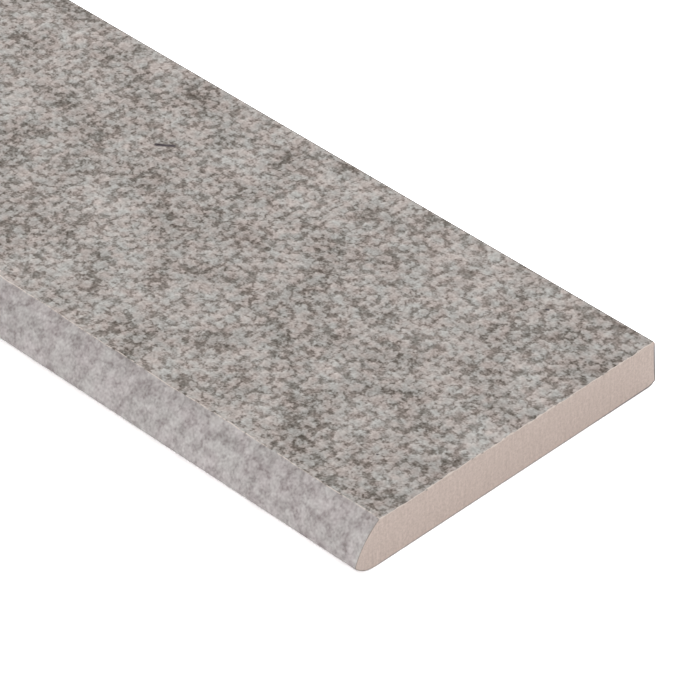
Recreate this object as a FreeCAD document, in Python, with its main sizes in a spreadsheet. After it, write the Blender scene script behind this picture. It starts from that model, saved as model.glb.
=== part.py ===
# Bullnose tile: one pressed, glazed and fired piece of porcelain.
# It is rounded along one long edge and sawn at both ends.
# X runs along the tile, the nose points to -Y, and the underside lies on Z = 0.
# The origin is under the middle of the tile.
import FreeCAD, Part
import math
import os

import Sketcher

V = FreeCAD.Vector

# Driving dimensions in millimetres, and one angle in degrees.
# The section is measured from the tip of the nose and from the foot of the back edge.
DIMENSIONS = {
    "length": (600, "from one sawn end to the other"),
    "width": (75, "from the tip of the nose to the foot of the back edge"),
    "thickness": (10, "from the underside to the flat top"),
    "nose_depth": (5.3, "from the tip back to the ridge where the flat top begins"),
    "crown_radius": (17.5, "of the nose between the ridge and the tip"),
    "tip_radius": (0.9, "of the tip itself"),
    "tip_height": (2.6, "of the middle of the tip above the underside"),
    "foot_setback": (5.1, "from the tip back to where the underside turns flat"),
    "ridge_radius": (0.4, "that eases the ridge between the nose and the flat top"),
    "back_lean": (4.1, "of the back edge, in degrees, because the mould gives it draft"),
    "back_top_radius": (0.8, "that eases the back edge into the flat top"),
    "heel_depth": (2.1, "from the foot of the back edge to where the underside turns flat"),
    "heel_rise": (0.65, "of the foot of the back edge above the underside"),
}


def make_sheet(doc):
    """Writes the driving dimensions to a spreadsheet, each under its own alias."""
    sheet = doc.addObject("Spreadsheet::Sheet", "sizes")
    for row, (alias, (value, meaning)) in enumerate(DIMENSIONS.items(), start=1):
        sheet.set(f"A{row}", alias)
        sheet.set(f"B{row}", str(value))
        sheet.set(f"C{row}", meaning)
        sheet.setAlias(f"B{row}", alias)
    doc.recompute()
    return sheet


def origin_plane(body, role):
    """Finds one of the body's own origin planes, such as YZ_Plane."""
    return next(feature for feature in body.Origin.OriginFeatures if feature.Role == role)


def arc_between(centre, radius, start, end):
    """An arc about centre that runs anticlockwise from the angle start to the angle end."""
    return Part.ArcOfCircle(Part.Circle(centre, V(0, 0, 1), radius), start, end)


def angle_of(vector):
    """The direction of a vector in the sketch, from 0 to a full turn."""
    return math.atan2(vector.y, vector.x) % (2 * math.pi)


def crown_centre(ridge, tip, crown_radius, tip_radius):
    """The centre of the arc that starts at the ridge and runs on smoothly into the tip."""
    across = tip - ridge
    reach = crown_radius - tip_radius
    along = (crown_radius ** 2 - reach ** 2 + across.Length ** 2) / (2 * across.Length)
    aside = math.sqrt(crown_radius ** 2 - along ** 2)
    unit = across / across.Length
    return ridge + unit * along + V(-unit.y, unit.x) * aside


def section_outline(sheet):
    """The section's lines and arcs, anticlockwise from the underside, with sketch X along the tile's Y."""
    half_width = sheet.width / 2
    foot = V(sheet.foot_setback - half_width, 0)
    heel = V(half_width - sheet.heel_depth, 0)
    back_foot = V(half_width, sheet.heel_rise)
    tip = V(sheet.tip_radius - half_width, sheet.tip_height)
    ridge = V(sheet.nose_depth - half_width, sheet.thickness)

    heel_radius = (sheet.heel_depth ** 2 + sheet.heel_rise ** 2) / (2 * sheet.heel_rise)
    heel_centre = heel + V(0, heel_radius)

    lean = math.radians(sheet.back_lean)
    inward = V(-math.cos(lean), -math.sin(lean))
    back_top_z = sheet.thickness - sheet.back_top_radius
    back_top_centre = back_foot + inward * sheet.back_top_radius
    climb = (back_top_z - back_top_centre.y) / math.cos(lean)
    uphill = V(-math.sin(lean), math.cos(lean))
    back_top = back_foot + uphill * climb
    back_top_centre = back_top_centre + uphill * climb

    crown = crown_centre(ridge, tip, sheet.crown_radius, sheet.tip_radius)
    foot_to_tip = V(tip.x - foot.x, tip.y)
    under_radius = (foot_to_tip.Length ** 2 - sheet.tip_radius ** 2) / (2 * (tip.y - sheet.tip_radius))
    under = foot + V(0, under_radius)

    crown_end = angle_of(tip - crown)
    under_start = angle_of(tip - under)
    return {
        "underside": Part.LineSegment(foot, heel),
        "heel": arc_between(heel_centre, heel_radius, math.radians(270), angle_of(back_foot - heel_centre)),
        "back": Part.LineSegment(back_foot, back_top),
        "back_top": arc_between(back_top_centre, sheet.back_top_radius, lean, math.radians(90)),
        "top": Part.LineSegment(V(back_top_centre.x, sheet.thickness), ridge),
        "crown": arc_between(crown, sheet.crown_radius, angle_of(ridge - crown), crown_end),
        "tip": arc_between(tip, sheet.tip_radius, crown_end, under_start),
        "under_nose": arc_between(under, under_radius, under_start, math.radians(270)),
    }


def draw_section(body, sheet):
    """Draws the tile's section on the YZ plane, held by constraints that read the spreadsheet."""
    sketch = body.newObject("Sketcher::SketchObject", "section")
    sketch.AttachmentSupport = [(origin_plane(body, "YZ_Plane"), "")]
    sketch.MapMode = "FlatFace"

    outline = section_outline(sheet)
    names = list(outline)
    index = {name: sketch.addGeometry(outline[name], False) for name in names}
    start, end, centre = 1, 2, 3
    origin = (-1, 1)
    ground = -1
    foot = (index["underside"], start)
    heel = (index["underside"], end)
    back_foot = (index["back"], start)
    ridge = (index["crown"], start)
    tip = (index["tip"], centre)

    # The sharp corners are the ridge and the foot of the back edge, and every other join is smooth.
    sharp = [("top", "crown"), ("heel", "back")]
    for name, following in zip(names, names[1:] + names[:1]):
        kind = "Coincident" if (name, following) in sharp else "Tangent"
        sketch.addConstraint(Sketcher.Constraint(kind, index[name], end, index[following], start))
    sketch.addConstraint(Sketcher.Constraint("PointOnObject", *foot, ground))
    sketch.addConstraint(Sketcher.Constraint("Horizontal", index["underside"]))
    sketch.addConstraint(Sketcher.Constraint("Horizontal", index["top"]))

    def measure(kind, places):
        """What a dimension measures on the outline as it was drawn."""
        if kind == "Radius":
            return outline[names[places[0]]].Radius
        if kind == "Angle":
            line = outline[names[places[0]]]
            return angle_of(line.EndPoint - line.StartPoint)
        span = sketch.getPoint(*places[2:]) - sketch.getPoint(*places[:2])
        return span.x if kind == "DistanceX" else span.y

    def hold(name, kind, places, expression):
        """Adds a dimension to the outline as drawn and binds it to the spreadsheet."""
        number = sketch.addConstraint(Sketcher.Constraint(kind, *places, measure(kind, places)))
        sketch.renameConstraint(number, name)
        sketch.setExpression(f"Constraints.{name}", expression)

    hold("thickness", "DistanceY", foot + ridge, "sizes.thickness")
    hold("back_place", "DistanceX", origin + back_foot, "sizes.width / 2")
    hold("heel_rise", "DistanceY", origin + back_foot, "sizes.heel_rise")
    hold("heel_place", "DistanceX", origin + heel, "sizes.width / 2 - sizes.heel_depth")
    hold("back_direction", "Angle", (index["back"],), "(90 + sizes.back_lean) * 1 deg")
    hold("back_top_radius", "Radius", (index["back_top"],), "sizes.back_top_radius")
    hold("ridge_place", "DistanceX", ridge + origin, "sizes.width / 2 - sizes.nose_depth")
    hold("crown_radius", "Radius", (index["crown"],), "sizes.crown_radius")
    hold("tip_place", "DistanceX", tip + origin, "sizes.width / 2 - sizes.tip_radius")
    hold("tip_height", "DistanceY", origin + tip, "sizes.tip_height")
    hold("tip_radius", "Radius", (index["tip"],), "sizes.tip_radius")
    hold("foot_place", "DistanceX", foot + origin, "sizes.width / 2 - sizes.foot_setback")
    return sketch


def ridge_edge(shape, sheet):
    """The name of the long edge where the crown of the nose meets the flat top."""
    ridge = V(0, sheet.nose_depth - sheet.width / 2, sheet.thickness)
    vertex = Part.Vertex(ridge)
    distances = [edge.distToShape(vertex)[0] for edge in shape.Edges]
    return f"Edge{distances.index(min(distances)) + 1}"


def make_tile(doc, sheet):
    """The tile: its section drawn out along its length, with the ridge eased."""
    body = doc.addObject("PartDesign::Body", "tile_body")
    body.Label = "bullnose_tile"
    section = draw_section(body, sheet)
    doc.recompute()

    length = body.newObject("PartDesign::Pad", "length_of_tile")
    length.Profile = section
    length.SideType = "Symmetric"
    length.setExpression("Length", "sizes.length")
    doc.recompute()

    ridge = body.newObject("PartDesign::Fillet", "eased_ridge")
    ridge.Base = (length, [ridge_edge(length.Shape, sheet)])
    ridge.setExpression("Radius", "sizes.ridge_radius")
    doc.recompute()
    body.Tip = ridge
    return body


def check(doc, bodies):
    """Stops if an object failed to compute or a sub-part isn't one sound solid."""
    for item in doc.Objects:
        if "Invalid" in item.State or "Error" in item.State:
            raise RuntimeError(f"{item.Name} did not compute: {item.State}")
    for body in bodies:
        shape = body.Shape
        if shape.isNull() or not shape.isValid() or len(shape.Solids) != 1:
            raise RuntimeError(f"{body.Label} is not one sound solid")


doc = FreeCAD.newDocument("bullnose_tile_part")
sheet = make_sheet(doc)
bodies = [make_tile(doc, sheet)]
doc.recompute()
check(doc, bodies)

os.makedirs("parts", exist_ok=True)
for body in bodies:
    body.Shape.exportStep(f"parts/{body.Label}.step")
    box = body.Shape.BoundBox
    print(f"{body.Label}: {box.XLength:.3f} x {box.YLength:.3f} x {box.ZLength:.3f} mm,"
          f" volume {body.Shape.Volume:.1f} mm3")
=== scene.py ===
import math
from typing import NamedTuple

import bmesh
import bpy
import numpy as np
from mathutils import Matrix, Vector


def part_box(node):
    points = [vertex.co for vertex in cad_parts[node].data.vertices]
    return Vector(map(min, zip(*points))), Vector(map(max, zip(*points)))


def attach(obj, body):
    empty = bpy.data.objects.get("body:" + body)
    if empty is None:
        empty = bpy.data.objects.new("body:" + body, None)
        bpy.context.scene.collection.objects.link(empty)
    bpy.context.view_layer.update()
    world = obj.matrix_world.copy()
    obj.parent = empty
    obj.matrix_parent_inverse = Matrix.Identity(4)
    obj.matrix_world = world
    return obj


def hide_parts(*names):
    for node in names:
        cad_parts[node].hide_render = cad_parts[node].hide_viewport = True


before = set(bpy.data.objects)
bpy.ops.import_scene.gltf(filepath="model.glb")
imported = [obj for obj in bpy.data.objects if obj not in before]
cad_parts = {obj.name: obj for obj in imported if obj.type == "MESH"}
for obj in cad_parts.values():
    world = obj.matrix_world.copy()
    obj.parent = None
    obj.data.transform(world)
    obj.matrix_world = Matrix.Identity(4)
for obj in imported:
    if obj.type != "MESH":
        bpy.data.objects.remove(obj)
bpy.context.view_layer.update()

bl_info = {
    "name": "Bullnose tile",
    "version": (1, 0, 0),
    "blender": (4, 5, 0),
    "location": "View3D > Sidebar > Tile",
    "description": "Builds a porcelain bullnose tile with a woven relief, and a plain studio for it",
    "category": "Object",
}

MM = 0.001
NODE = "bullnose_tile"


def linear(code):
    """Turns an sRGB hex colour such as "#A09890" into the linear values that shaders take."""
    channels = [int(code[place:place + 2], 16) / 255 for place in (1, 3, 5)]
    return tuple(c / 12.92 if c <= 0.04045 else ((c + 0.055) / 1.055) ** 2.4 for c in channels)


def size(name, description, millimetres):
    """A length that the user can set, given in millimetres."""
    return bpy.props.FloatProperty(name=name, description=description, default=millimetres * MM,
                                   min=0, precision=5, unit="LENGTH", subtype="DISTANCE")


def colour(name, description, code):
    """A colour that the user can set, given as sRGB hex."""
    return bpy.props.FloatVectorProperty(name=name, description=description, default=linear(code),
                                         min=0, max=1, size=3, subtype="COLOR")


def angle(name, description, degrees):
    """An angle that the user can set, given in degrees."""
    return bpy.props.FloatProperty(name=name, description=description,
                                   default=math.radians(degrees), subtype="ANGLE")


class BULLNOSE_PG_section(bpy.types.PropertyGroup):
    """The section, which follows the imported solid. Its width and thickness come from the frame."""

    nose_depth: size("Nose depth", "From the tip back to the ridge", 5.3)
    crown_radius: size("Crown radius", "Of the nose between the ridge and the tip", 17.5)
    tip_radius: size("Tip radius", "Of the tip itself", 0.9)
    tip_height: size("Tip height", "Of the middle of the tip above the underside", 2.6)
    foot_setback: size("Foot setback", "From the tip back to the flat underside", 5.1)
    ridge_radius: size("Ridge radius", "That eases the ridge", 0.4)
    back_lean: angle("Back lean", "Draft of the back edge", 4.1)
    back_top_radius: size("Back arris radius", "That eases the back edge into the top", 0.8)
    heel_depth: size("Heel depth", "From the back edge to the flat underside", 2.1)
    heel_rise: size("Heel rise", "Of the foot of the back edge", 0.65)


class BULLNOSE_PG_surface(bpy.types.PropertyGroup):
    """The relief pressed into the top, and the wear of the edges."""

    warp_pitch: size("Warp pitch", "Spacing of the threads that run across the tile", 2.29)
    weft_pitch: size("Weft pitch", "Spacing of the threads that run along the tile", 2.17)
    relief_depth: size("Relief depth", "From the highest thread to the deepest hollow", 0.36)
    ridge_wander: size("Ridge wander", "How far grinding lets the ridge stray into the top", 0.65)
    saw_chipping: size("Saw chipping", "How far the saw breaks the glaze back at the ends", 0.32)


class BULLNOSE_PG_finish(bpy.types.PropertyGroup):
    """Colours of the glazes and of the fired body."""

    top_darkest: colour("Top, darkest", "Darkest grains of the print", "#443A30")
    top_dark: colour("Top, dark", "Dark grains of the print", "#766E67")
    top_middle: colour("Top, middle", "Middle tone of the print", "#9B938E")
    top_light: colour("Top, light", "Light patches of the print", "#B4AEA9")
    top_lightest: colour("Top, lightest", "Lightest patches of the print", "#C7C1BC")
    nose_dark: colour("Nose, dark", "Dark clouds of the nose glaze", "#8B8281")
    nose_middle: colour("Nose, middle", "Middle tone of the nose glaze", "#B5AEAD")
    nose_light: colour("Nose, light", "Light clouds of the nose glaze", "#D2CDCB")
    body_dark: colour("Body, dark", "Fine dark grain of the fired body", "#BDACA3")
    body_light: colour("Body, light", "Fine light grain of the fired body", "#D7C6BD")
    chip: colour("Chips", "Fresh body that shows where glaze has chipped", "#DACDC4")
    # The back edge's colour is painted shade: a dark line that stands in for the shade along the back
    # arris.
    back_edge_shade: colour("Back edge shade", "Dark painted shade along the back arris", "#3A332F")
    cut_glaze: colour("Cut glaze", "Glaze seen in section where the saw cut it", "#8E877F")
    # The cut body's grey is painted shade on the edge that turns from the light, and a painted contact
    # shadow at the foot.
    body_rim_shade: colour("Cut body shade", "Painted shade on the body's edge where the saw cut it", "#838080")
    iron: colour("Iron specks", "Burnt iron specks in the glaze", "#2B1F24")


class BULLNOSE_PG_studio(bpy.types.PropertyGroup):
    """The camera and the lamps."""

    view_azimuth: angle("View azimuth", "Way the camera looks, from along the tile", 45.0)
    view_elevation: angle("View elevation", "Height of the camera above the horizon", 38.0)
    view_distance: size("View distance", "From the camera to the point it looks at", 816)
    view_from_end: size("View point from the end", "Point looked at, from the sawn end", 35.8)
    view_from_middle: size("View point from the middle", "Point looked at, toward the nose", 2.9)
    lens: bpy.props.FloatProperty(name="Lens", description="Focal length of the camera",
                                  default=240.4, unit="CAMERA")
    sky: bpy.props.FloatProperty(name="Sky", description="Strength of the even light all round",
                                 default=0.6, min=0)
    key: bpy.props.FloatProperty(name="Key lamp", description="Power of the lamp behind the tile",
                                 default=50, min=0, unit="POWER")
    fill: bpy.props.FloatProperty(name="Fill lamp", description="Power of the lamp by the camera",
                                  default=20, min=0, unit="POWER")
    key_azimuth: angle("Key azimuth", "Way the key lamp shines, from along the tile", 230)
    key_elevation: angle("Key elevation", "Low enough to bring out the relief", 22)
    fill_elevation: angle("Fill elevation", "Low enough to light the nose and the end", 14)


class Run(NamedTuple):
    """One run of the outline: its steps, its surface and what the saw does to it at the ends."""

    steps: int
    surface: str
    chipping: float
    rim: float


# Chipping is a share of what the top's glaze takes. The rim is the band round the cut face, in
# millimetres, and it is widest at the heel and the back. The weave sets the steps of the top.
RUNS = {
    "top": Run(steps=0, surface="top", chipping=1.0, rim=0.14),
    "ridge": Run(steps=1, surface="ridge", chipping=0.45, rim=0.14),
    "below_ridge": Run(steps=1, surface="nose", chipping=0.45, rim=0.14),
    "crown": Run(steps=9, surface="nose", chipping=0.45, rim=0.14),
    "tip": Run(steps=4, surface="nose", chipping=0.45, rim=0.14),
    "under_nose": Run(steps=4, surface="nose", chipping=0.1, rim=0.14),
    # The rims of the underside, the heel and the back take the cut body's grey painted shade.
    "underside": Run(steps=1, surface="body", chipping=0.1, rim=0.2),
    "heel": Run(steps=2, surface="body", chipping=0.1, rim=0.36),
    "back": Run(steps=3, surface="body", chipping=0.1, rim=0.36),
    # The back arris takes the dark painted shade of the back edge.
    "back_arris": Run(steps=3, surface="back_edge_shade", chipping=0.1, rim=0.14),
    "back_shoulder": Run(steps=1, surface="top", chipping=0.1, rim=0.14),
}

# Each kind of surface has its own material, and RIMS names the one of its rim at a sawn end.
SURFACES = ("top", "nose", "body", "ridge", "back_edge_shade", "chip", "cut_glaze", "body_rim_shade")
RIMS = {"top": "chip", "ridge": "chip", "back_edge_shade": "chip", "nose": "cut_glaze", "body": "body_rim_shade"}

# The mesh has this many rows for each thread, both ways, and this many nicks for each row at the
# sawn ends.
ROWS_PER_THREAD = 3
NICKS_PER_ROW = 4

# Edges of the mesh that turn by more than this are drawn sharp.
SHARP_TURN = math.radians(28)

# The dark painted shade of the back edge covers this share of the back arris, and the print covers the
# rest.
BACK_EDGE_SHADE_SHARE = 0.87


def arc(centre, radius, start, end, steps):
    """Points of an anticlockwise arc, without its last point."""
    turns = np.linspace(start, end, steps + 1)[:-1]
    return [(centre[0] + radius * math.cos(a), centre[1] + radius * math.sin(a)) for a in turns]


def line(start, end, steps):
    """Points of a straight run, without its last point."""
    return [tuple(np.add(start, np.subtract(end, start) * step / steps)) for step in range(steps)]


def direction(vector):
    """The direction of a vector, from 0 to a full turn."""
    return math.atan2(vector[1], vector[0]) % (2 * math.pi)


def crown_centre(ridge, tip, crown_radius, tip_radius):
    """The centre of the arc that starts at the ridge and runs on smoothly into the tip."""
    across = tip - ridge
    distance = np.linalg.norm(across)
    unit = across / distance
    along = (crown_radius ** 2 - (crown_radius - tip_radius) ** 2 + distance ** 2) / (2 * distance)
    aside = math.sqrt(crown_radius ** 2 - along ** 2)
    return ridge + unit * along + np.array((-unit[1], unit[0])) * aside


class Outline:
    """The tile's section as (y, z) points, anticlockwise from the back of the flat top."""

    def __init__(self, section, weft_pitch):
        low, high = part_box(NODE)
        half_width = (high[1] - low[1]) / 2
        self.thickness = high[2]
        s = section
        foot = np.array((s.foot_setback - half_width, 0))
        heel = np.array((half_width - s.heel_depth, 0))
        back_foot = np.array((half_width, s.heel_rise))
        tip = np.array((s.tip_radius - half_width, s.tip_height))
        ridge = np.array((s.nose_depth - half_width, self.thickness))

        # The heel and the back edge meet at the foot, and the arris eases the back into the top.
        heel_radius = (s.heel_depth ** 2 + s.heel_rise ** 2) / (2 * s.heel_rise)
        heel_centre = heel + (0, heel_radius)
        heel_end = direction(back_foot - heel_centre)
        uphill = np.array((-math.sin(s.back_lean), math.cos(s.back_lean)))
        inward = np.array((-math.cos(s.back_lean), -math.sin(s.back_lean)))
        arris_centre = back_foot + inward * s.back_top_radius
        climb = (self.thickness - s.back_top_radius - arris_centre[1]) / uphill[1]
        arris_centre = arris_centre + uphill * climb
        back_top = back_foot + uphill * climb

        # The nose falls from the eased ridge over the crown to the tip, and turns back under it.
        crown = crown_centre(ridge, tip, s.crown_radius, s.tip_radius)
        reach = s.crown_radius - s.ridge_radius
        ease_z = self.thickness - s.ridge_radius
        ease = np.array((crown[0] - math.sqrt(reach ** 2 - (ease_z - crown[1]) ** 2), ease_z))
        crown_start = direction(ease - crown)
        crown_end = direction(tip - crown)
        foot_to_tip = tip - foot
        under_radius = ((foot_to_tip ** 2).sum() - s.tip_radius ** 2) / (2 * (tip[1] - s.tip_radius))
        under = foot + (0, under_radius)
        under_start = direction(tip - under)

        # A whole number of rows fits the flat top, so the weft's pitch is rounded to suit.
        self.flat_back = arris_centre[0]
        self.flat_front = ease[0]
        flat_width = self.flat_back - self.flat_front
        rows = round(flat_width / weft_pitch * ROWS_PER_THREAD)
        self.weft_pitch = flat_width / rows * ROWS_PER_THREAD

        top_back = (self.flat_back, self.thickness)
        top_front = (self.flat_front, self.thickness)
        quarter, three_quarters = math.pi / 2, math.pi * 3 / 2
        mid_ridge = (quarter + crown_start) / 2
        shoulder = s.back_lean + (quarter - s.back_lean) * BACK_EDGE_SHADE_SHARE
        shapes = {
            "top": (line, top_back, top_front),
            "ridge": (arc, ease, s.ridge_radius, quarter, mid_ridge),
            "below_ridge": (arc, ease, s.ridge_radius, mid_ridge, crown_start),
            "crown": (arc, crown, s.crown_radius, crown_start, crown_end),
            "tip": (arc, tip, s.tip_radius, crown_end, under_start),
            "under_nose": (arc, under, under_radius, under_start, three_quarters),
            "underside": (line, foot, heel),
            "heel": (arc, heel_centre, heel_radius, three_quarters, heel_end),
            "back": (line, back_foot, back_top),
            "back_arris": (arc, arris_centre, s.back_top_radius, s.back_lean, shoulder),
            "back_shoulder": (arc, arris_centre, s.back_top_radius, shoulder, quarter),
        }
        points = []
        names = []
        for name, (draw, *measures) in shapes.items():
            run = draw(*measures, steps=RUNS[name].steps or rows)
            points += run
            names += [name] * len(run)
        self.points = np.array(points)
        self.run_names = np.array(names)

    def inward(self):
        """At each point of the outline, the way into the tile."""
        before = self.points - np.roll(self.points, 1, 0)
        after = np.roll(self.points, -1, 0) - self.points
        tangent = (before / np.linalg.norm(before, axis=1)[:, None]
                   + after / np.linalg.norm(after, axis=1)[:, None])
        tangent /= np.linalg.norm(tangent, axis=1)[:, None]
        return np.stack([-tangent[:, 1], tangent[:, 0]], 1)


def smooth_noise(u, v, seed):
    """Random values from 0 to 1 on a unit grid, blended smoothly between its corners."""
    u = np.asarray(u, float) - np.min(u)
    v = np.asarray(v, float) - np.min(v)
    values = np.random.default_rng(seed).random((int(u.max()) + 2, int(v.max()) + 2))
    i, j = u.astype(int), v.astype(int)
    s, t = u - i, v - j
    s, t = s * s * (3 - 2 * s), t * t * (3 - 2 * t)
    low = values[i, j] * (1 - s) + values[i + 1, j] * s
    high = values[i, j + 1] * (1 - s) + values[i + 1, j + 1] * s
    return low * (1 - t) + high * t


def noise_along(places, grain, seed):
    """Smooth noise from 0 to 1 along a line, over a grain."""
    return smooth_noise(places / grain, places * 0, seed)


# How much each part of the weave adds to its height, either side of the middle.
WARP_SHARE = 0.15
WEFT_SHARE = 0.11
CROSSING_SHARE = 0.24

# Wear leaves a thread at least the first share of its height, and up to the second one more.
LEAST_LEFT = 0.45
MORE_LEFT = 0.4
WEAR_GRAIN = 4 * MM

# Roughness lies over the threads, and the relief fades out beside the edges of the flat top.
ROUGH_SHARE = 0.15
ROUGH_GRAIN = 1.3 * MM
RELIEF_FADE = 2.5 * MM

# The nominal top lies this far up the relief, so only the proudest crossings stand above it.
TOP_LEVEL = 0.7


def woven_height(x, y, warp_pitch, weft_pitch, weft_offset):
    """Height of the plain weave from 0 to 1, as the glaze's nodes work it out too."""
    warp = np.cos(2 * np.pi * x / warp_pitch)
    weft = np.cos(2 * np.pi * (y - weft_offset) / weft_pitch)
    crossing = np.cos(np.pi * x / warp_pitch) * np.cos(np.pi * (y - weft_offset) / weft_pitch)
    return 0.5 + WARP_SHARE * warp + WEFT_SHARE * weft + CROSSING_SHARE * crossing


def press_weave(points, outline, depth, warp_pitch):
    """Presses the weave into the flat top, worn unevenly, so that each thread's height differs."""
    top = outline.run_names == "top"
    x, y = points[:, top, 0], points[:, top, 1]
    woven = woven_height(x, y, warp_pitch, outline.weft_pitch, outline.flat_back)
    wear = smooth_noise(x / WEAR_GRAIN, y / WEAR_GRAIN, seed=11)
    rough = smooth_noise(x / ROUGH_GRAIN, y / ROUGH_GRAIN, seed=12)
    height = woven * (LEAST_LEFT + MORE_LEFT * wear) + ROUGH_SHARE * rough
    edge = np.minimum(outline.flat_back - y, y - outline.flat_front)
    fade = np.clip(edge / RELIEF_FADE, 0, 1)
    points[:, top, 2] += depth * (height - TOP_LEVEL) * fade


# The ridge strays in long waves with short ones over them, each a (grain, share, seed).
RIDGE_WAVES = ((9 * MM, 0.65, 21), (2.6 * MM, 0.35, 22))

# The last two rows of the top stray with the ridge by these shares.
STRAY_BESIDE_RIDGE = (0.25, 0.6)


def grind_ridge(points, outline, reach):
    """Lets the ridge stray as grinding leaves it, and the stray dies out toward the tip."""
    stations = points[:, 0, 0]
    stray = sum(share * noise_along(stations, grain, seed) for grain, share, seed in RIDGE_WAVES)
    follow = np.zeros(len(outline.points))
    crown = np.flatnonzero(np.isin(outline.run_names, ["ridge", "below_ridge", "crown"]))
    follow[crown] = np.linspace(1, 0, len(crown)) ** 2
    beside = np.flatnonzero(outline.run_names == "top")[-len(STRAY_BESIDE_RIDGE):]
    follow[beside] = STRAY_BESIDE_RIDGE
    points[..., 1] += reach * stray[:, None] * follow


def swept_points(outline, surface, half_length):
    """The outline swept along the tile, as points by station and row, with relief and wear."""
    threads = round(2 * half_length / surface.warp_pitch)
    warp_pitch = 2 * half_length / threads
    stations = np.linspace(-half_length, half_length, threads * ROWS_PER_THREAD + 1)
    points = np.empty((len(stations), len(outline.points), 3))
    points[..., 0] = stations[:, None]
    points[..., 1:] = outline.points
    press_weave(points, outline, surface.relief_depth, warp_pitch)
    grind_ridge(points, outline, surface.ridge_wander)
    return points, warp_pitch


# What the saw leaves: a slow sag of the glaze's edge, quick small breaks, and rare deeper nicks
# where their noise passes a level. Each has a grain, and a share of the chipping.
SAG_GRAIN = 2.6 * MM
SAG_SHARE = 0.6
BREAK_GRAIN = 1.2 * MM
BREAK_SHARE = 0.4
NICK_GRAIN = 0.7 * MM
NICK_SHARE = 2.2
NICK_LEVEL = 0.62

# Shares of a break's size that it reaches inward from the outline and along the tile.
BREAK_INWARD = 0.6
BREAK_ALONG = 0.7


def saw_end(outline, saw_chipping, ring, into, seed):
    """Breaks the glaze back along a sawn end: its broken edge, and the outline of the cut face."""
    row, share = np.divmod(np.arange(len(ring) * NICKS_PER_ROW) / NICKS_PER_ROW, 1)
    row = row.astype(int)
    share = share[:, None]

    def between(values):
        """Values at the nicks, from those at the rows."""
        return values[row] * (1 - share) + np.roll(values, -1, 0)[row] * share

    edge = between(ring)
    inward = between(outline.inward())
    runs = [RUNS[name] for name in outline.run_names[row]]
    chipping = saw_chipping * np.array([run.chipping for run in runs])
    frayed = np.array([run.rim for run in runs]) * MM

    places = np.concatenate([[0], np.cumsum(np.linalg.norm(np.diff(edge, axis=0), axis=1))])
    sag = noise_along(places, SAG_GRAIN, seed)
    quick = noise_along(places, BREAK_GRAIN, seed + 1)
    nick = np.clip(noise_along(places, NICK_GRAIN, seed + 2) - NICK_LEVEL, 0, None)
    sagging = chipping * SAG_SHARE * sag ** 2
    broken = chipping * (BREAK_SHARE * quick + NICK_SHARE * nick)
    edge[:, 1:] += inward * sagging[:, None]
    rim = edge.copy()
    rim[:, 1:] += inward * (BREAK_INWARD * broken + frayed)[:, None]
    edge[:, 0] += into * BREAK_ALONG * broken
    return edge, rim


def end_faces(ring, edge, rim):
    """Faces from the last ring of the sweep over the broken edge to the cut face, by their points."""
    broken = []
    for row, (point, following) in enumerate(zip(ring, np.roll(ring, -1))):
        nicks = np.arange(row * NICKS_PER_ROW, (row + 1) * NICKS_PER_ROW + 1)
        broken.append([point, following, *edge[nicks[::-1] % len(edge)]])
    frayed = np.stack([edge, np.roll(edge, -1), np.roll(rim, -1), rim], -1)
    return broken + frayed.tolist() + [rim.tolist()]


def tile_mesh(section, surface):
    """The tile as one closed mesh, with a material for each kind of surface."""
    low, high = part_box(NODE)
    outline = Outline(section, surface.weft_pitch)
    swept, warp_pitch = swept_points(outline, surface, (high[0] - low[0]) / 2)
    far_end = saw_end(outline, surface.saw_chipping, swept[0], into=1, seed=31)
    near_end = saw_end(outline, surface.saw_chipping, swept[-1], into=-1, seed=41)
    swept = swept[1:-1]
    stations, count = swept.shape[:2]
    points = np.concatenate([swept.reshape(-1, 3), *far_end, *near_end])

    index = np.arange(stations * count).reshape(stations, count)
    here, after = index[:-1], index[1:]
    quads = np.stack([here, np.roll(here, -1, 1), np.roll(after, -1, 1), after], -1).reshape(-1, 4)
    far_edge, far_rim, near_edge, near_rim = np.arange(index.size, len(points)).reshape(4, -1)
    far_faces = [face[::-1] for face in end_faces(index[0], far_edge, far_rim)]
    faces = quads.tolist() + far_faces + end_faces(index[-1], near_edge, near_rim)

    surfaces = [RUNS[name].surface for name in outline.run_names]
    slots = [SURFACES.index(name) for name in surfaces]
    rim_slots = [SURFACES.index(RIMS[name]) for name in surfaces]
    end_slots = slots + np.repeat(rim_slots, NICKS_PER_ROW).tolist() + [SURFACES.index("body")]
    materials = slots * (stations - 1) + end_slots * 2

    mesh = bpy.data.meshes.new("tile")
    mesh.from_pydata(points.tolist(), [], faces)
    mesh.polygons.foreach_set("material_index", materials)
    mesh.update()
    shade_smooth(mesh)
    return mesh, warp_pitch, outline


def shade_smooth(mesh):
    """Shades the mesh smooth, apart from its sharp turns."""
    work = bmesh.new()
    work.from_mesh(mesh)
    for face in work.faces:
        face.smooth = True
    for edge in work.edges:
        edge.smooth = edge.calc_face_angle(0) < SHARP_TURN
    work.to_mesh(mesh)
    work.free()


# Glaze, paint and fired clay are all bonded by glass or resin of about this IOR.
IOR = 1.5


def add(tree, kind, inputs=(), output=0, **settings):
    """Adds a node, gives it settings, then sets or links its inputs, and returns one output."""
    node = tree.nodes.new(kind)
    for name, value in settings.items():
        setattr(node, name, value)
    for name, value in dict(inputs).items():
        if isinstance(value, bpy.types.NodeSocket):
            tree.links.new(value, node.inputs[name])
        else:
            node.inputs[name].default_value = value
    return node.outputs[output]


def new_material(name, roughness):
    """A new material with its tree and its shader."""
    material = bpy.data.materials.new(name)
    material.use_nodes = True
    tree = material.node_tree
    shader = tree.nodes["Principled BSDF"]
    shader.inputs["Roughness"].default_value = roughness
    shader.inputs["IOR"].default_value = IOR
    return material, tree, shader


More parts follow.
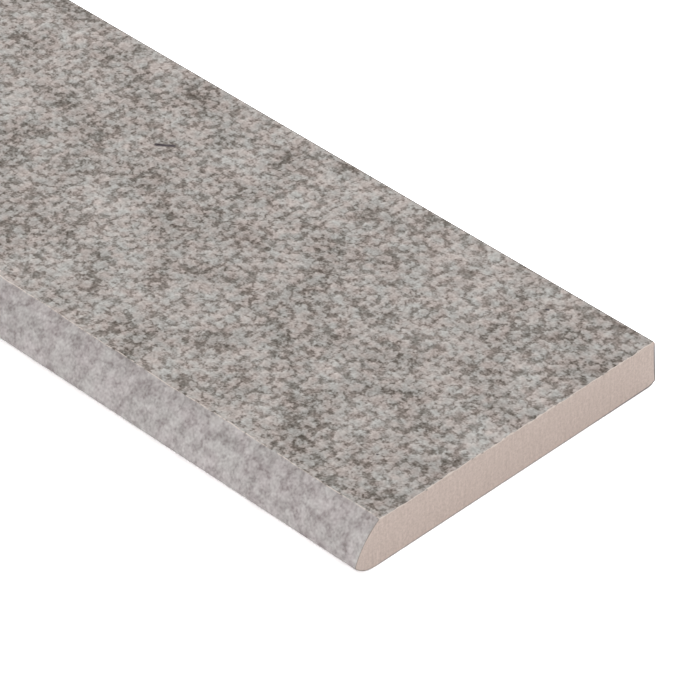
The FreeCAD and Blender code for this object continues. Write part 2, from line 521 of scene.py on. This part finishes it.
def through_colours(tree, factor, stops):
    """Runs through colours as a factor rises, from a list of (place, colour) stops."""
    (low, shade), *rest = stops
    shade = (*shade, 1)
    for high, following in rest:
        share = add(tree, "ShaderNodeMapRange", {"Value": factor, "From Min": low, "From Max": high})
        following = (*following, 1)
        shade = add(tree, "ShaderNodeMix", {"Factor": share, "A": shade, "B": following},
                    output=2, data_type="RGBA")
        low = high
    return shade


def position_in_mm(tree):
    """The place on the tile, in millimetres."""
    place = add(tree, "ShaderNodeTexCoord", output="Object")
    return add(tree, "ShaderNodeVectorMath", {0: place, "Scale": 1 / MM}, operation="SCALE")


class Layer(NamedTuple):
    """One layer of noise: its grain in millimetres, how many finer octaves it has, and its share."""

    grain: float
    octaves: int
    share: float


def mottle(tree, place, layers):
    """Adds up layers of noise around 0.5."""
    tone = 0.5 - sum(share for grain, octaves, share in layers) / 2
    for grain, octaves, share in layers:
        noise = add(tree, "ShaderNodeTexNoise", {"Vector": place, "Scale": 1 / grain,
                                                 "Detail": octaves, "Roughness": 1.0})
        tone = add(tree, "ShaderNodeMath", {0: noise, 1: share, 2: tone}, operation="MULTIPLY_ADD")
    return tone


def wander(tree, place, grain, reach):
    """Moves places about by noise of a grain in millimetres, by up to about half the reach."""
    stray = add(tree, "ShaderNodeTexNoise", {"Vector": place, "Scale": 1 / grain, "Detail": 1.0,
                                             "Roughness": 0.7}, "Color")
    stray = add(tree, "ShaderNodeVectorMath", {0: stray, 1: (0.5, 0.5, 0.5)}, operation="SUBTRACT")
    return add(tree, "ShaderNodeVectorMath", {0: stray, 1: (reach, reach, reach), 2: place},
               operation="MULTIPLY_ADD")


def drifting(tree, place, shade, grain, cool, warm):
    """Lets a glaze drift between a cooler and a warmer tint, over a grain in millimetres."""
    drift = mottle(tree, place, [Layer(grain, octaves=1, share=3.0)])
    tint = add(tree, "ShaderNodeMix", {"Factor": drift, "A": (*cool, 1), "B": (*warm, 1)},
               output=2, data_type="RGBA")
    return add(tree, "ShaderNodeMix", {"Factor": 1.0, "A": shade, "B": tint}, output=2,
               data_type="RGBA", blend_type="MULTIPLY")


def wave(tree, axis_value, pitch, offset):
    """A wave along one axis, 1 at the offset and -1 half a pitch away."""
    turns = add(tree, "ShaderNodeMath", {0: axis_value, 1: 2 * math.pi / pitch,
                                         2: -2 * math.pi * offset / pitch}, operation="MULTIPLY_ADD")
    return add(tree, "ShaderNodeMath", {0: turns}, operation="COSINE")


def weave(tree, place, warp_pitch, weft_pitch, weft_offset):
    """Height from 0 to 1 of a plain weave whose warp stands proud where it crosses over the weft."""
    axes = add(tree, "ShaderNodeSeparateXYZ", {"Vector": place}).node
    crossing = add(tree, "ShaderNodeMath", {
        0: wave(tree, axes.outputs["X"], 2 * warp_pitch, 0),
        1: wave(tree, axes.outputs["Y"], 2 * weft_pitch, weft_offset)}, operation="MULTIPLY")
    height = 0.5
    for part, share in ((wave(tree, axes.outputs["X"], warp_pitch, 0), WARP_SHARE),
                        (wave(tree, axes.outputs["Y"], weft_pitch, weft_offset), WEFT_SHARE),
                        (crossing, CROSSING_SHARE)):
        height = add(tree, "ShaderNodeMath", {0: part, 1: share, 2: height}, operation="MULTIPLY_ADD")
    return height


# The patches of the print lie this far apart, in millimetres. Raw heights up to the first level
# make a hollow, and those from the second on a full patch.
PATCH_SPACING = 1.7
PATCH_HOLLOW = -0.34
PATCH_FULL = 0.13


def pebbles(tree, place, weave_shade_lift):
    """Ragged raised patches of 1 to 3 mm, with thin hollows between them where it is 0."""
    ragged = wander(tree, place, grain=1.4, reach=2.0)
    cell = add(tree, "ShaderNodeTexVoronoi", {"Vector": ragged, "Scale": 1 / PATCH_SPACING},
               "Distance")
    grain = mottle(tree, place, [Layer(grain=0.9, octaves=2, share=1.0),
                                 Layer(grain=5.0, octaves=1, share=0.35)])
    raised = add(tree, "ShaderNodeMath", {0: grain, 1: cell}, operation="SUBTRACT")
    # The weave's painted light and shade comes in through this lift.
    raised = add(tree, "ShaderNodeMath", {0: raised, 1: weave_shade_lift}, operation="ADD")
    return add(tree, "ShaderNodeMapRange", {"Value": raised, "From Min": PATCH_HOLLOW,
                                            "From Max": PATCH_FULL},
               interpolation_type="SMOOTHSTEP")


# Patches lighten the print by up to this much, and the drop darkens all of it in return.
PATCHES_IN_PRINT = 0.35
PRINT_DROP = 0.255


def stone_print(tree, place, patches, finish):
    """Colour of the granite print: light cool patches with brown-grey grains between them."""
    tone = mottle(tree, place, [Layer(grain=7.0, octaves=0, share=0.38),
                                Layer(grain=0.9, octaves=1, share=0.9)])
    # On the top, the patches carry the weave's painted light and shade into the print.
    tone = add(tree, "ShaderNodeMath", {0: patches, 1: PATCHES_IN_PRINT, 2: tone},
               operation="MULTIPLY_ADD")
    tone = add(tree, "ShaderNodeMath", {0: tone, 1: PRINT_DROP}, operation="SUBTRACT")
    stops = [(0.0, finish.top_darkest), (0.25, finish.top_dark), (0.5, finish.top_middle),
             (0.75, finish.top_light), (1.0, finish.top_lightest)]
    shade = through_colours(tree, tone, stops)
    return drifting(tree, place, shade, grain=3.0, cool=(0.95, 1.007, 1.022),
                    warm=(1.04, 0.988, 0.978))


# A stroke is whole up to the first share of its half width, and gone from the second on.
STROKE_WHOLE = 0.6
STROKE_GONE = 1.3


def stroke(tree, place, start, end, half_width):
    """A mask that is 1 on a stroke between two (x, y) places, in millimetres, and fades at its rim."""
    start, end = Vector((*start, 0)), Vector((*end, 0))
    span = end - start
    offset = add(tree, "ShaderNodeVectorMath", {0: place, 1: start}, operation="SUBTRACT")
    offset = add(tree, "ShaderNodeVectorMath", {0: offset, 1: (1, 1, 0)}, operation="MULTIPLY")
    along = add(tree, "ShaderNodeVectorMath", {0: offset, 1: span / span.length_squared},
                output="Value", operation="DOT_PRODUCT")
    along = add(tree, "ShaderNodeClamp", {"Value": along})
    nearest = add(tree, "ShaderNodeVectorMath", {0: span, "Scale": along}, operation="SCALE")
    distance = add(tree, "ShaderNodeVectorMath", {0: offset, 1: nearest}, output="Value",
                   operation="DISTANCE")
    return add(tree, "ShaderNodeMapRange", {"Value": distance,
                                            "From Min": half_width * STROKE_GONE,
                                            "From Max": half_width * STROKE_WHOLE})


def iron_marks():
    """Where the burnt specks start and end, in millimetres, and half their width."""
    sawn_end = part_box(NODE)[1][0] / MM
    dash = ((sawn_end - 104.9, 15.5), (sawn_end - 102.3, 17.5), 0.4)
    dot = ((sawn_end - 19.6, 30.0), (sawn_end - 19.3, 30.1), 0.3)
    pinprick = ((sawn_end - 12.3, -19.9), (sawn_end - 12.2, -19.9), 0.2)
    return dash, dot, pinprick


# Threads lift the patches by half of this where they are highest, and sink them by as much where
# they are lowest. This is partly painted light and shade: it prints the crossings lighter and the
# hollows darker, on top of the relief's own shading.
WEAVE_SHADE_IN_PATCHES = 0.58

# Shares of threads and of patches in the top's bump.
WEAVE_IN_BUMP = 0.75
PATCHES_IN_BUMP = 0.55

# How deep the bump of each surface looks.
TOP_BUMP = 0.13 * MM
NOSE_BUMP = 0.03 * MM
BODY_BUMP = 0.01 * MM


def top_glaze(finish, warp_pitch, outline):
    """Matte structured glaze, printed like granite and fired over a woven relief."""
    # To the eye it is dry and grainy: it scatters light without a shine, and light from low down
    # picks out its threads.
    material, tree, shader = new_material("matte_structured_glaze", roughness=0.85)
    place = position_in_mm(tree)

    # A little drift keeps the threads from looking ruled.
    height = weave(tree, wander(tree, place, grain=6, reach=0.8), warp_pitch / MM,
                   outline.weft_pitch / MM, outline.flat_back / MM)

    # Patches stand out where threads cross, and glaze pools round them, where it looks darker. The
    # lighter crossings and darker hollows are partly painted shade, added to the relief's shading.
    weave_shade_lift = add(tree, "ShaderNodeMath", {0: height, 1: WEAVE_SHADE_IN_PATCHES, 2: -WEAVE_SHADE_IN_PATCHES / 2},
               operation="MULTIPLY_ADD")
    patches = pebbles(tree, place, weave_shade_lift)
    shade = stone_print(tree, place, patches, finish)

    # Specks of iron burn in the kiln, and leave small dark strokes.
    for start, end, half_width in iron_marks():
        mask = stroke(tree, place, start, end, half_width)
        shade = add(tree, "ShaderNodeMix", {"Factor": mask, "A": shade, "B": (*finish.iron, 1)},
                    output=2, data_type="RGBA")
    tree.links.new(shade, shader.inputs["Base Color"])

    # The bump holds the rims of the patches, what the mesh is too coarse to carry of the threads,
    # and the glaze's pitting, which is finer than it is drawn here, so that it shows.
    pitting = mottle(tree, place, [Layer(grain=0.6, octaves=1, share=0.5)])
    relief = add(tree, "ShaderNodeMath", {0: height, 1: WEAVE_IN_BUMP, 2: pitting},
                 operation="MULTIPLY_ADD")
    relief = add(tree, "ShaderNodeMath", {0: patches, 1: PATCHES_IN_BUMP, 2: relief},
                 operation="MULTIPLY_ADD")
    bump = add(tree, "ShaderNodeBump", {"Height": relief, "Strength": 1.0, "Distance": TOP_BUMP})
    tree.links.new(bump, shader.inputs["Normal"])
    return material


# Patches lighten the clouds of the nose by up to this much, and the drop darkens all of them.
PATCHES_IN_CLOUDS = 0.3
CLOUD_DROP = 0.21

# The print laps over the nose by noise that gives out by this much for each millimetre below the
# flat top. It starts at the first level, and from the second on it has its full share.
LAP_STEEPNESS = 2.0
LAP_STARTS = -1.0
LAP_FULL = 0.5
LAP_SHARE = 0.2


def nose_glaze(finish, outline):
    """Satin glaze sprayed over the ground nose."""
    # To the eye it is smoother and paler than the top: a mauve grey in soft clouds, with no threads.
    material, tree, shader = new_material("satin_nose_glaze", roughness=0.7)
    place = position_in_mm(tree)
    patches = pebbles(tree, place, 0.0)
    upper = stone_print(tree, place, patches, finish)
    clouds = mottle(tree, place, [Layer(grain=2.4, octaves=0, share=0.62),
                                  Layer(grain=1.1, octaves=0, share=0.4),
                                  Layer(grain=0.5, octaves=0, share=0.65)])
    clouds = add(tree, "ShaderNodeMath", {0: patches, 1: PATCHES_IN_CLOUDS, 2: clouds},
                 operation="MULTIPLY_ADD")
    clouds = add(tree, "ShaderNodeMath", {0: clouds, 1: CLOUD_DROP}, operation="SUBTRACT")
    cloud = through_colours(tree, clouds, [(0.0, finish.nose_dark), (0.5, finish.nose_middle),
                                           (1.0, finish.nose_light)])
    cloud = drifting(tree, place, cloud, grain=4.5, cool=(0.99, 1.01, 1.0), warm=(1.01, 0.992, 1.0))

    # The print of the top laps faintly over the ridge by a millimetre or so, unevenly.
    axes = add(tree, "ShaderNodeSeparateXYZ", {"Vector": place}).node
    lap = mottle(tree, place, [Layer(grain=5.0, octaves=1, share=6.0)])
    lap = add(tree, "ShaderNodeMath", {0: axes.outputs["Z"], 1: LAP_STEEPNESS, 2: lap},
              operation="MULTIPLY_ADD")
    top = LAP_STEEPNESS * outline.thickness / MM
    lap = add(tree, "ShaderNodeMapRange", {"Value": lap, "From Min": top + LAP_STARTS,
                                           "From Max": top + LAP_FULL, "To Max": LAP_SHARE})
    shade = add(tree, "ShaderNodeMix", {"Factor": lap, "A": cloud, "B": upper}, output=2,
                data_type="RGBA")
    tree.links.new(shade, shader.inputs["Base Color"])
    bump = add(tree, "ShaderNodeBump", {"Height": clouds, "Strength": 1.0, "Distance": NOSE_BUMP})
    tree.links.new(bump, shader.inputs["Normal"])
    return material


# The print on the ridge is whole up to the first level of noise, and from the second on this share
# of it is worn away.
RIDGE_WHOLE = 0.36
RIDGE_WORN = 0.52
RIDGE_BARE = 0.75


def worn_ridge(finish):
    """The ridge, where grinding has cut through the glaze."""
    # To the eye it is a thin cream line with gaps, which sets the nose off from the top.
    material, tree, shader = new_material("worn_ridge_glaze", roughness=0.8)
    place = position_in_mm(tree)
    print_shade = stone_print(tree, place, pebbles(tree, place, 0.0), finish)
    gaps = mottle(tree, place, [Layer(grain=2.5, octaves=2, share=1.2)])
    bare = add(tree, "ShaderNodeMapRange", {"Value": gaps, "From Min": RIDGE_WHOLE,
                                            "From Max": RIDGE_WORN, "To Max": RIDGE_BARE})
    shade = add(tree, "ShaderNodeMix", {"Factor": bare, "A": print_shade, "B": (*finish.chip, 1)},
                output=2, data_type="RGBA")
    tree.links.new(shade, shader.inputs["Base Color"])
    return material


# The fired body's own grain and the lines of the saw are too fine to show, so both are drawn this
# coarse, in millimetres. Their noises lie around 0.5, and their sum runs between these levels.
BODY_GRAIN = 0.6
BODY_DARK = 0.6
BODY_LIGHT = 1.4


def fired_body(finish):
    """Bare fired porcelain, sawn at the ends."""
    # To the eye it is fine, dry and even, a pinkish beige with faint saw lines. The lines run up
    # the ends, so their noise is drawn ten times as long along Z.
    material, tree, shader = new_material("fired_porcelain_body", roughness=0.85)
    place = position_in_mm(tree)
    grain = mottle(tree, place, [Layer(BODY_GRAIN, octaves=2, share=2.0)])
    upright = add(tree, "ShaderNodeVectorMath", {0: place, 1: (1, 1, 0.1)}, operation="MULTIPLY")
    saw = mottle(tree, upright, [Layer(BODY_GRAIN, octaves=1, share=0.6)])
    tone = add(tree, "ShaderNodeMath", {0: grain, 1: saw}, operation="ADD")
    shade = through_colours(tree, tone, [(BODY_DARK, finish.body_dark),
                                         (BODY_LIGHT, finish.body_light)])
    tree.links.new(shade, shader.inputs["Base Color"])
    bump = add(tree, "ShaderNodeBump", {"Height": grain, "Strength": 1.0, "Distance": BODY_BUMP})
    tree.links.new(bump, shader.inputs["Normal"])
    return material


# Up to the first level of noise the glaze at the cut has chipped, and from the second on it holds.
CHIPPED = 0.65
HOLDING = 0.9


def chipped_edge(finish):
    """The top's glaze at the saw cut, chipped here and there."""
    # To the eye it is a cream line where the glaze has chipped, and grey where it still holds.
    material, tree, shader = new_material("chipped_glaze_edge", roughness=0.85)
    held = mottle(tree, position_in_mm(tree), [Layer(grain=1.6, octaves=1, share=2.0)])
    shade = through_colours(tree, held, [(CHIPPED, finish.chip), (HOLDING, finish.top_middle)])
    tree.links.new(shade, shader.inputs["Base Color"])
    return material


# The shade of a line along an edge varies by this share to either side, between these levels.
LINE_VARIES = 0.3
LINE_DARK = 0.2
LINE_LIGHT = 0.8


def edge_line(name, shade):
    """A thin line along an edge, with an uneven shade."""
    material, tree, shader = new_material(name, roughness=0.85)
    tone = mottle(tree, position_in_mm(tree), [Layer(grain=1.2, octaves=2, share=1.2)])
    dark = [channel * (1 - LINE_VARIES) for channel in shade]
    light = [channel * (1 + LINE_VARIES) for channel in shade]
    shade = through_colours(tree, tone, [(LINE_DARK, dark), (LINE_LIGHT, light)])
    tree.links.new(shade, shader.inputs["Base Color"])
    return material


def painted_back_shade(finish):
    """Painted shade along the back arris, drawn as a dark line."""
    # To the eye it is a dark brown line along the back, which is painted shade.
    return edge_line("back_edge_painted_shade", finish.back_edge_shade)


def cut_glaze_edge(finish):
    """The nose's glaze where the saw cut through it."""
    # To the eye it is a fine grey line round the nose at the end.
    return edge_line("sawn_glaze_edge", finish.cut_glaze)


def shaded_body_rim(finish):
    """The rim of the bare body at the saw cut, drawn grey as painted shade."""
    # To the eye it is a soft grey line round the back and the foot of the end: painted shade where the
    # edge turns from the light, and a painted contact shadow at the foot.
    return edge_line("sawn_body_edge_painted_shade", finish.body_rim_shade)


class BULLNOSE_OT_tile(bpy.types.Operator):
    """Builds the tile as one mesh with its glazes and its bare body"""

    bl_idname = "bullnose.tile"
    bl_label = "Build the tile"

    def execute(self, context):
        settings = context.scene
        mesh, warp_pitch, outline = tile_mesh(settings.bullnose_section, settings.bullnose_surface)
        tile = bpy.data.objects.new("bullnose_tile_dressed", mesh)
        context.scene.collection.objects.link(tile)
        finish = settings.bullnose_finish
        materials = {"top": top_glaze(finish, warp_pitch, outline),
                     "nose": nose_glaze(finish, outline),
                     "body": fired_body(finish),
                     "ridge": worn_ridge(finish),
                     "back_edge_shade": painted_back_shade(finish),
                     "chip": chipped_edge(finish),
                     "cut_glaze": cut_glaze_edge(finish),
                     "body_rim_shade": shaded_body_rim(finish)}
        for name in SURFACES:
            mesh.materials.append(materials[name])
        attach(tile, "root")
        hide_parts(NODE)
        return {"FINISHED"}


# The floor returns this much light to the tile, and looks this bright to the camera, so that it
# turns white and only the tile's shadow shows on it.
FLOOR_RETURNS = 0.6
FLOOR_LOOKS = 2.4

# The floor's reach to each side, in metres, and how far it lies under the tile.
FLOOR_REACH = 12
FLOOR_GAP = 0.02 * MM

# Distances and sides of the lamps, in metres.
KEY_DISTANCE = 2.3
KEY_SIDE = 1.0
FILL_DISTANCE = 2.0
FILL_SIDE = 1.2

# The camera's sensor, in millimetres, and how far it sees, in metres.
SENSOR_WIDTH = 36
SIGHT = 50


def seen_directly(tree):
    """1 for rays that show the background to the camera, straight on, mirrored or through glass."""
    rays = add(tree, "ShaderNodeLightPath").node
    seen = add(tree, "ShaderNodeMath", {0: rays.outputs["Is Camera Ray"],
                                        1: rays.outputs["Is Glossy Ray"]}, operation="MAXIMUM")
    return add(tree, "ShaderNodeMath", {0: seen, 1: rays.outputs["Is Transmission Ray"]},
               operation="MAXIMUM")


def white_floor():
    """Matt floor paint, put on with a roller."""
    # To the eye it is plain white without a shine, and shows nothing but the tile's shadow.
    material, tree, shader = new_material("white_floor_paint", roughness=0.9)
    returned = (FLOOR_RETURNS, FLOOR_RETURNS, FLOOR_RETURNS, 1)
    looks = (FLOOR_LOOKS, FLOOR_LOOKS, FLOOR_LOOKS, 1)
    shade = add(tree, "ShaderNodeMix", {"Factor": seen_directly(tree), "A": returned, "B": looks},
                output=2, data_type="RGBA")
    tree.links.new(shade, shader.inputs["Base Color"])
    shader.inputs["Specular IOR Level"].default_value = 0
    return material


def white_world(strength):
    """An even pale sky that lights the tile, and that the camera sees as white."""
    world = bpy.data.worlds.new("studio_sky")
    world.use_nodes = True
    tree = world.node_tree
    level = add(tree, "ShaderNodeMapRange", {"Value": seen_directly(tree), "To Min": strength,
                                             "To Max": 1.0})
    background = tree.nodes["Background"]
    background.inputs["Color"].default_value = (1, 1, 1, 1)
    tree.links.new(level, background.inputs["Strength"])
    return world


def look_from(thing, target, azimuth, elevation, distance):
    """Places a camera or lamp so that it looks at the target the way that the angles give."""
    looking = Vector((-math.sin(azimuth) * math.cos(elevation),
                      math.cos(azimuth) * math.cos(elevation), -math.sin(elevation)))
    thing.location = target - looking * distance
    thing.rotation_euler = looking.to_track_quat("-Z", "Y").to_euler()


def add_floor(scene):
    """A square floor under the tile, all round."""
    mesh = bpy.data.meshes.new("floor")
    mesh.from_pydata([(-FLOOR_REACH, -FLOOR_REACH, 0), (FLOOR_REACH, -FLOOR_REACH, 0),
                      (FLOOR_REACH, FLOOR_REACH, 0), (-FLOOR_REACH, FLOOR_REACH, 0)], [],
                     [(0, 1, 2, 3)])
    mesh.materials.append(white_floor())
    floor = bpy.data.objects.new("floor", mesh)
    floor.location.z = -FLOOR_GAP
    scene.collection.objects.link(floor)


def add_camera(scene, lens):
    """The camera that the scene is seen through."""
    data = bpy.data.cameras.new("camera")
    data.sensor_width = SENSOR_WIDTH
    data.lens = lens
    data.clip_end = SIGHT
    camera = bpy.data.objects.new("camera", data)
    scene.collection.objects.link(camera)
    scene.camera = camera
    return camera


def add_lamp(scene, name, power, side):
    """A square soft lamp."""
    light = bpy.data.lights.new(name, "AREA")
    light.energy = power
    light.size = side
    lamp = bpy.data.objects.new(name, light)
    scene.collection.objects.link(lamp)
    return lamp


class BULLNOSE_OT_stage(bpy.types.Operator):
    """Sets up the white floor, the soft lamps and the camera"""

    bl_idname = "bullnose.stage"
    bl_label = "Set up the studio"

    def execute(self, context):
        scene = context.scene
        studio = scene.bullnose_studio
        add_floor(scene)
        scene.world = white_world(studio.sky)

        near_end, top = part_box(NODE)[1][0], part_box(NODE)[1][2]
        target = Vector((near_end - studio.view_from_end, -studio.view_from_middle, top))
        camera = add_camera(scene, studio.lens)
        look_from(camera, target, studio.view_azimuth, studio.view_elevation, studio.view_distance)

        # The key lamp shines along the top from behind, and the fill lamp is under the camera.
        key = add_lamp(scene, "key", studio.key, KEY_SIDE)
        look_from(key, target, studio.key_azimuth, studio.key_elevation, KEY_DISTANCE)
        fill = add_lamp(scene, "fill", studio.fill, FILL_SIDE)
        look_from(fill, target, studio.view_azimuth, studio.fill_elevation, FILL_DISTANCE)
        scene.view_settings.view_transform = "Standard"
        return {"FINISHED"}


class BULLNOSE_PT_panel(bpy.types.Panel):
    """Lists the tile's settings and its two steps"""

    bl_label = "Bullnose tile"
    bl_idname = "BULLNOSE_PT_panel"
    bl_space_type = "VIEW_3D"
    bl_region_type = "UI"
    bl_category = "Tile"

    def draw(self, context):
        for name, group in GROUPS.items():
            box = self.layout.box()
            for field in group.__annotations__:
                box.prop(getattr(context.scene, name), field)
        for operator in OPERATORS:
            self.layout.operator(operator.bl_idname)


GROUPS = {"bullnose_section": BULLNOSE_PG_section, "bullnose_surface": BULLNOSE_PG_surface,
          "bullnose_finish": BULLNOSE_PG_finish, "bullnose_studio": BULLNOSE_PG_studio}
OPERATORS = (BULLNOSE_OT_tile, BULLNOSE_OT_stage)


def register():
    """Registers the classes and hangs the settings on the scene."""
    for item in (*GROUPS.values(), *OPERATORS, BULLNOSE_PT_panel):
        bpy.utils.register_class(item)
    for name, group in GROUPS.items():
        setattr(bpy.types.Scene, name, bpy.props.PointerProperty(type=group))


def unregister():
    """Takes the settings and the classes away again."""
    for name in GROUPS:
        delattr(bpy.types.Scene, name)
    for item in reversed((*GROUPS.values(), *OPERATORS, BULLNOSE_PT_panel)):
        bpy.utils.unregister_class(item)


def main():
    """Builds the tile and its studio."""
    register()
    bpy.ops.bullnose.tile()
    bpy.ops.bullnose.stage()


if __name__ == "__main__":
    main()
